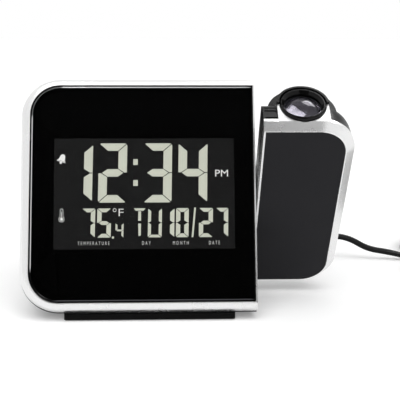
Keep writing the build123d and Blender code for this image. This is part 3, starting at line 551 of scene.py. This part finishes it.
def captions(white):
    caption("caption_pm", "PM", 33.9, 39.9, 58.05, 61.2, white)
    caption("caption_f", "F", -10.9, -8.6, 39.7, 43.1, white, bold=-0.01)
    middle = (-12.75, 42.5)
    ring = arc(middle, 0.85, 0, 350, 14)
    inner = list(reversed(arc(middle, 0.6, 0, 350, 14)))
    flat_piece("degree_ring", [ring + inner], white)
    low, high = 26.4, 28.0
    for name, words, left, right in SMALL_CAPTIONS:
        caption(name, words, left, right, low, high, white, bold=-0.012, spacing=1.7)


def bell_icon(white):
    """A small tilted bell with its clapper."""
    tilt = radians(18)
    u, v = -37.1, 66.6

    def turned(points):
        return [
            (u + x * cos(tilt) + y * sin(tilt), v - x * sin(tilt) + y * cos(tilt))
            for x, y in points
        ]

    body = [(-2.0, -1.0), (-1.45, -0.5), (-1.2, 0.9)]
    body += arc((0, 1.0), 1.15, 170, 10, 6)
    body += [(1.2, 0.9), (1.45, -0.5), (2.0, -1.0)]
    rim = [(-2.05, -1.5), (-2.0, -1.15), (2.0, -1.15), (2.05, -1.5)]
    rim += [(0.9, -1.45), (0, -1.75), (-0.9, -1.45)]
    clapper = arc((0, -2.0), 0.55, 0, 330, 11)
    flat_piece("bell_icon", [turned(body), turned(rim), turned(clapper)], white)


def thermometer_icon(white):
    """A bulb with an open stem and a filled middle."""
    u, low = -37.1, 38.4
    outer = arc((u, low), 1.35, -235, 55, 14) + arc((u, 42.6), 0.7, 0, 180, 6)
    inner = arc((u, low), 1.13, -235, 55, 14) + arc((u, 42.6), 0.5, 0, 180, 6)
    wall = outer + [outer[0]] + [inner[0]] + list(reversed(inner))
    flat_piece("thermometer_wall", [wall], white)
    flat_piece("thermometer_bulb", [arc((u, low), 0.7, 0, 340, 14)], white)
    core = [(u - 0.14, low + 0.6), (u + 0.14, low + 0.6), (u + 0.14, 41.8), (u - 0.14, 41.8)]
    flat_piece("thermometer_core", [core], white)


# ------------------------------------------------------------------ painted highlight and painted shade along the window's edge
def bead(name, path, material):
    """A thin bead along (place, inward, width) stations on the face, ridged along its middle."""
    bm = bmesh.new()
    rows = []
    for place, inward, width in path:
        place, inward = Vector(place), Vector(inward)
        outer, inner = place - inward * width / 2, place + inward * width / 2
        rows.append([
            bm.verts.new(on_face(*outer, EDGE_DEPTH)),
            bm.verts.new(on_face(*place, EDGE_DEPTH - EDGE_RISE)),
            bm.verts.new(on_face(*inner, EDGE_DEPTH)),
        ])
    for a, b in zip(rows, rows[1:]):
        for j in range(3):
            bm.faces.new([a[j], b[j], b[(j + 1) % 3], a[(j + 1) % 3]])
    bm.faces.new(rows[0])
    bm.faces.new(list(reversed(rows[-1])))
    bmesh.ops.recalc_face_normals(bm, faces=bm.faces)
    piece = mesh_object(name, bm)
    paint(piece, material)
    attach(piece, "main")


def window_edge():
    """A pale bead of painted highlight along the window's edge: up its left side, thin round the
    corner, and along its top.

    Its lower edge is a second bead, in a darker material: painted shade.
    """
    left, top = -FACE_W / 2 + EDGE_IN, FACE_H - EDGE_IN
    right, low = FACE_W / 2 - EDGE_IN / 2, EDGE_IN
    turn_r = FACE_R - EDGE_IN
    centre = Vector((-FACE_W / 2 + FACE_R, FACE_H - FACE_R))
    path = [
        ((left, FACE_R), (1, 0), EDGE_TIP),
        ((left, FACE_R + EDGE_TAPER), (1, 0), EDGE_WIDE),
        ((left, centre.y - EDGE_TURN_GAP), (1, 0), EDGE_WIDE),
    ]
    for k in range(EDGE_TURN_STEPS + 1):
        angle = pi - pi / 2 * k / EDGE_TURN_STEPS
        way = Vector((cos(angle), sin(angle)))
        path.append((centre + way * turn_r, -way, EDGE_THIN))
    path += [
        ((centre.x + EDGE_TURN_GAP, top), (0, -1), EDGE_WIDE),
        ((right - EDGE_TAPER, top), (0, -1), EDGE_WIDE),
        ((right, top), (0, -1), EDGE_TIP),
    ]
    # The upper bead's pale metallic tone is painted highlight.
    bead("window_edge_painted_highlight", path, painted_highlight_edge())
    start = -FACE_W / 2 + EDGE_LOW_START * FACE_R
    path = [
        ((start, low), (0, 1), EDGE_TIP),
        ((start + EDGE_TAPER, low), (0, 1), EDGE_WIDE),
        ((right - EDGE_TAPER, low), (0, 1), EDGE_WIDE),
        ((right, low), (0, 1), EDGE_TIP),
    ]
    # The lower bead's dark tone is painted shade.
    bead("window_edge_painted_shade", path, painted_shade_edge())


# ------------------------------------------------------------------ supply lead
def coil_points():
    """The coil's turns: across the bottom layer inward, then outward on the next, and so on."""
    points = []
    columns = len(COIL_RADII)
    count = round(COIL_TURNS * COIL_POINTS_PER_TURN)
    grow = 1 / cos(pi / COIL_POINTS_PER_TURN)
    for k in range(2, count):
        turn = k / COIL_POINTS_PER_TURN
        whole = int(turn)
        layer, place = divmod(whole, columns)
        column = place if layer % 2 == 0 else columns - 1 - place
        after_layer, after_place = divmod(whole + 1, columns)
        after = after_place if after_layer % 2 == 0 else columns - 1 - after_place
        share = max(0.0, (turn - whole - (1 - COIL_CROSS)) / COIL_CROSS)
        if turn > COIL_TURNS - COIL_RUN_OUT:
            after, share = 0, (turn - COIL_TURNS + COIL_RUN_OUT) / COIL_RUN_OUT
            after_layer = layer
        radius = COIL_RADII[column] * (1 - share) + COIL_RADII[after] * share
        rise = COIL_STEP * (layer * (1 - share) + after_layer * share)
        angle = -pi / 2 + 2 * pi * turn
        x = COIL_AT[0] + radius * grow * cos(angle)
        y = COIL_AT[1] + radius * grow * sin(angle)
        points.append((x, y, LEAD_POINTS[-1][2] + rise))
    return points


def cord_profile():
    """Flat twin section: two round lobes side by side, with a groove between them."""
    profile = bpy.data.curves.new("cord_profile", "CURVE")
    profile.dimensions = "2D"
    spline = profile.splines.new("POLY")
    lobe = CORD_T / 2
    reach = CORD_W / 2 - lobe
    drop = CORD_T / 2 - CORD_W / 2  # its underside lies as low as the round solid's
    right = [(reach + lobe * cos(radians(a)), lobe * sin(radians(a))) for a in range(-130, 131, 20)]
    left = [(-x, -y) for x, y in right]
    outline = right + left
    spline.points.add(len(outline) - 1)
    for point, (x, y) in zip(spline.points, outline):
        point.co = (x * MM, (y + drop) * MM, 0, 1)
    spline.use_cyclic_u = True
    shape = link(bpy.data.objects.new("cord_profile", profile))
    shape.hide_render = True
    shape.hide_viewport = True
    return shape


def supply_cord(material):
    points = LEAD_POINTS + coil_points() + TAIL_POINTS
    curve = bpy.data.curves.new("supply_cord", "CURVE")
    curve.dimensions = "3D"
    curve.resolution_u = 6
    curve.twist_mode = "Z_UP"
    spline = curve.splines.new("NURBS")
    spline.points.add(len(points) - 1)
    for point, place in zip(spline.points, points):
        point.co = (*(Vector(place) * MM), 1)
    for point in spline.points[LEAD_TURNED]:
        point.tilt = radians(LEAD_TILT)
    spline.order_u = 3
    spline.use_endpoint_u = True
    curve.bevel_mode = "OBJECT"
    curve.bevel_object = cord_profile()
    curve.use_fill_caps = True
    cord = link(bpy.data.objects.new("supply_cord", curve))
    cord.data.materials.append(material)
    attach(cord, "main")
    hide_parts("supply_lead", "supply_coil", "supply_lead_tail")


# ------------------------------------------------------------------ studio
def camera():
    data = bpy.data.cameras.new("camera")
    data.lens = CAMERA_LENS
    data.sensor_width = 36.0
    data.clip_start = 0.01
    obj = link(bpy.data.objects.new("camera", data))
    turn = Matrix.Rotation(radians(-CAMERA_YAW), 4, "Z")
    tip = Matrix.Rotation(radians(90 - CAMERA_PITCH), 4, "X")
    roll = Matrix.Rotation(radians(-CAMERA_ROLL), 4, "Z")
    obj.matrix_world = Matrix.Translation(CAMERA_AT * MM) @ turn @ tip @ roll
    bpy.context.scene.camera = obj


def softbox(name, place, target, width, height, watts):
    """A soft box for highlights: it shows in reflections and gives no diffuse light."""
    data = bpy.data.lights.new(name, "AREA")
    data.shape = "RECTANGLE"
    data.size = width
    data.size_y = height
    data.energy = watts
    obj = link(bpy.data.objects.new(name, data))
    obj.location = place
    way = Vector(target) - Vector(place)
    obj.rotation_euler = way.to_track_quat("-Z", "Y").to_euler()
    obj.visible_diffuse = False


def dark_card(place, width, height):
    """A dark card behind the camera, seen only in reflections, as in a photographer's studio."""
    bm = bmesh.new()
    corners = [(-1, -1), (1, -1), (1, 1), (-1, 1)]
    bm.faces.new([bm.verts.new((x * width / 2, 0, z * height / 2)) for x, z in corners])
    card = mesh_object("dark_card", bm)
    card.location = place
    paint(card, Shader("card_dark", (0.02, 0.02, 0.02), 0.9, Specular_IOR_Level=0.0).material)
    card.visible_camera = card.visible_diffuse = card.visible_shadow = False


def soft_sun(name, way, angle, strength):
    """A broad sun: it gives diffuse light and shadows and does not show in reflections."""
    data = bpy.data.lights.new(name, "SUN")
    data.angle = radians(angle)
    data.energy = strength
    obj = link(bpy.data.objects.new(name, data))
    obj.rotation_euler = Vector(way).to_track_quat("Z", "Y").to_euler()
    obj.visible_glossy = False


def direct_view(tree):
    """1 where a surface is seen straight, in a reflection or through glass, and 0 elsewhere."""
    path = tree.nodes.new("ShaderNodeLightPath")
    seen = path.outputs["Is Camera Ray"]
    for ray in ("Is Glossy Ray", "Is Transmission Ray"):
        either = tree.nodes.new("ShaderNodeMath")
        either.operation = "MAXIMUM"
        tree.links.new(seen, either.inputs[0])
        tree.links.new(path.outputs[ray], either.inputs[1])
        seen = either.outputs[0]
    return seen


def pale_floor():
    bm = bmesh.new()
    bmesh.ops.create_grid(bm, x_segments=2, y_segments=2, size=4.0)
    floor = mesh_object("floor", bm)
    material = bpy.data.materials.new("floor_pale")
    material.use_nodes = True
    tree = material.node_tree
    bsdf = tree.nodes["Principled BSDF"]
    bsdf.inputs["Base Color"].default_value = (0.9, 0.9, 0.9, 1)
    bsdf.inputs["Roughness"].default_value = 0.9
    bsdf.inputs["Specular IOR Level"].default_value = 0.0
    bsdf.inputs["Emission Color"].default_value = (1, 1, 1, 1)
    glow = tree.nodes.new("ShaderNodeMath")
    glow.operation = "MULTIPLY"
    glow.inputs[1].default_value = FLOOR_GLOW
    tree.links.new(direct_view(tree), glow.inputs[0])
    tree.links.new(glow.outputs[0], bsdf.inputs["Emission Strength"])
    paint(floor, material)


def world():
    made = bpy.data.worlds.new("studio")
    bpy.context.scene.world = made
    made.use_nodes = True
    tree = made.node_tree
    background = tree.nodes["Background"]
    background.inputs["Color"].default_value = (1, 1, 1, 1)
    strength = tree.nodes.new("ShaderNodeMapRange")
    strength.inputs["To Min"].default_value = WORLD_FILL
    strength.inputs["To Max"].default_value = 1.0
    tree.links.new(direct_view(tree), strength.inputs["Value"])
    tree.links.new(strength.outputs["Result"], background.inputs["Strength"])


def studio():
    view = bpy.context.scene.view_settings
    view.view_transform = "Standard"
    world()
    pale_floor()
    camera()
    for sun in SUNS:
        soft_sun(*sun)
    for box in SOFT_BOXES:
        softbox(*box)
    dark_card(CARD_AT, CARD_W, CARD_H)


# ------------------------------------------------------------------ everything
NODE_LOOKS = {
    silver_paint: ["front_bezel", "arm_frame"],
    frame_black: ["display_frame"],
    shell_black: ["arm_rear_shell"],
    gloss_black: ["focus_ring", "snooze_bar", "flip_button"]
    + [f"set_button_{k}" for k in range(1, 7)],
    foot_black: ["foot"],
    satin_black: ["projector_tube", "lens_cell", "sounder"]
    + ["supply_socket", "thrust_washer", "battery_door"],
    textured_black: ["rear_housing", "supply_adapter", "supply_plug"],
    panel_black: ["arm_panel"],
    window_clear: ["front_lens"],
    mask_black: ["lens_mask"],
    cell_dark: ["display_cell", "shutter_cell"],
    guide_white: ["light_guide"],
    board_green: ["main_board", "key_board", "lamp_board", "arm_board"],
    steel: ["housing_screws", "battery_contacts", "spring_washer", "retaining_clip", "hinge_shaft"],
    bronze: ["hinge_bush"],
    nickel: ["adapter_prongs"],
    jacket: ["cells"],
    rubber: ["foot_pad"],
    lens_glass: ["projection_lens"],
    lamp_red: ["lamp"],
}

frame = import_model()

for look, names in NODE_LOOKS.items():
    material = look()
    for node_name in names:
        paint_node(node_name, material)

ink = segment_light()
big_row(ink)
small_row(ink)
white = caption_white()
captions(white)
bell_icon(white)
thermometer_icon(white)
window_edge()
supply_cord(sheath())
studio()
